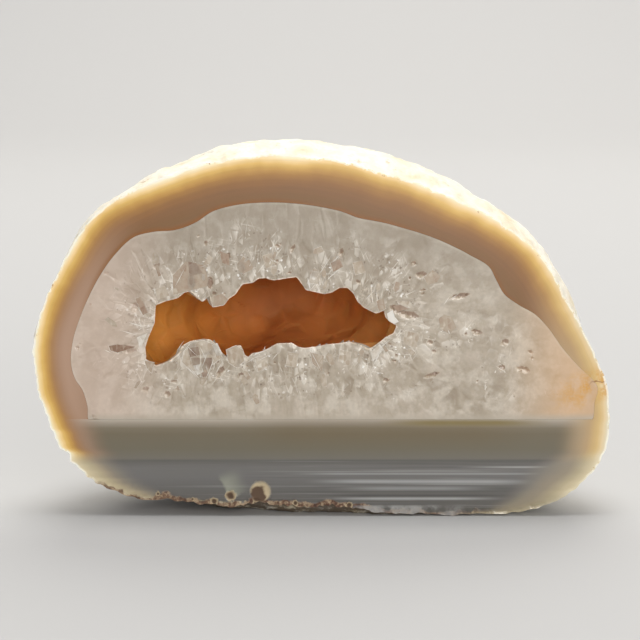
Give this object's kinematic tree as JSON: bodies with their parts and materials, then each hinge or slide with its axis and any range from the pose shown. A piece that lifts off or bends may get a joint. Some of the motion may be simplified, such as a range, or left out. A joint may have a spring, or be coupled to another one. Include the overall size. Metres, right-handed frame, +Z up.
{
  "type": "agate geode half",
  "caption": "Half of an agate geode with flat water-line layers, a quartz lining and an open crystal hollow, sawn and polished on one face and resting on its flat underside.",
  "frame": {"origin": "on the flat patch of the underside that the stone rests on, behind the middle of the sawn face", "axes": "+X along the sawn face to the thin end of the stone, +Y from the sawn face to the rounded back, +Z up"},
  "size_m": [0.1008, 0.0421, 0.0653],
  "materials": {
    "agate": "polished banded agate on the sawn face, rough chalky rind outside",
    "quartz": "polished milky quartz on the sawn face, glassy crystal faces in the hollow"
  },
  "bodies": {
    "root": {"agate_shell": "agate", "quartz_crust": "quartz"}
  },
  "joints": []
}
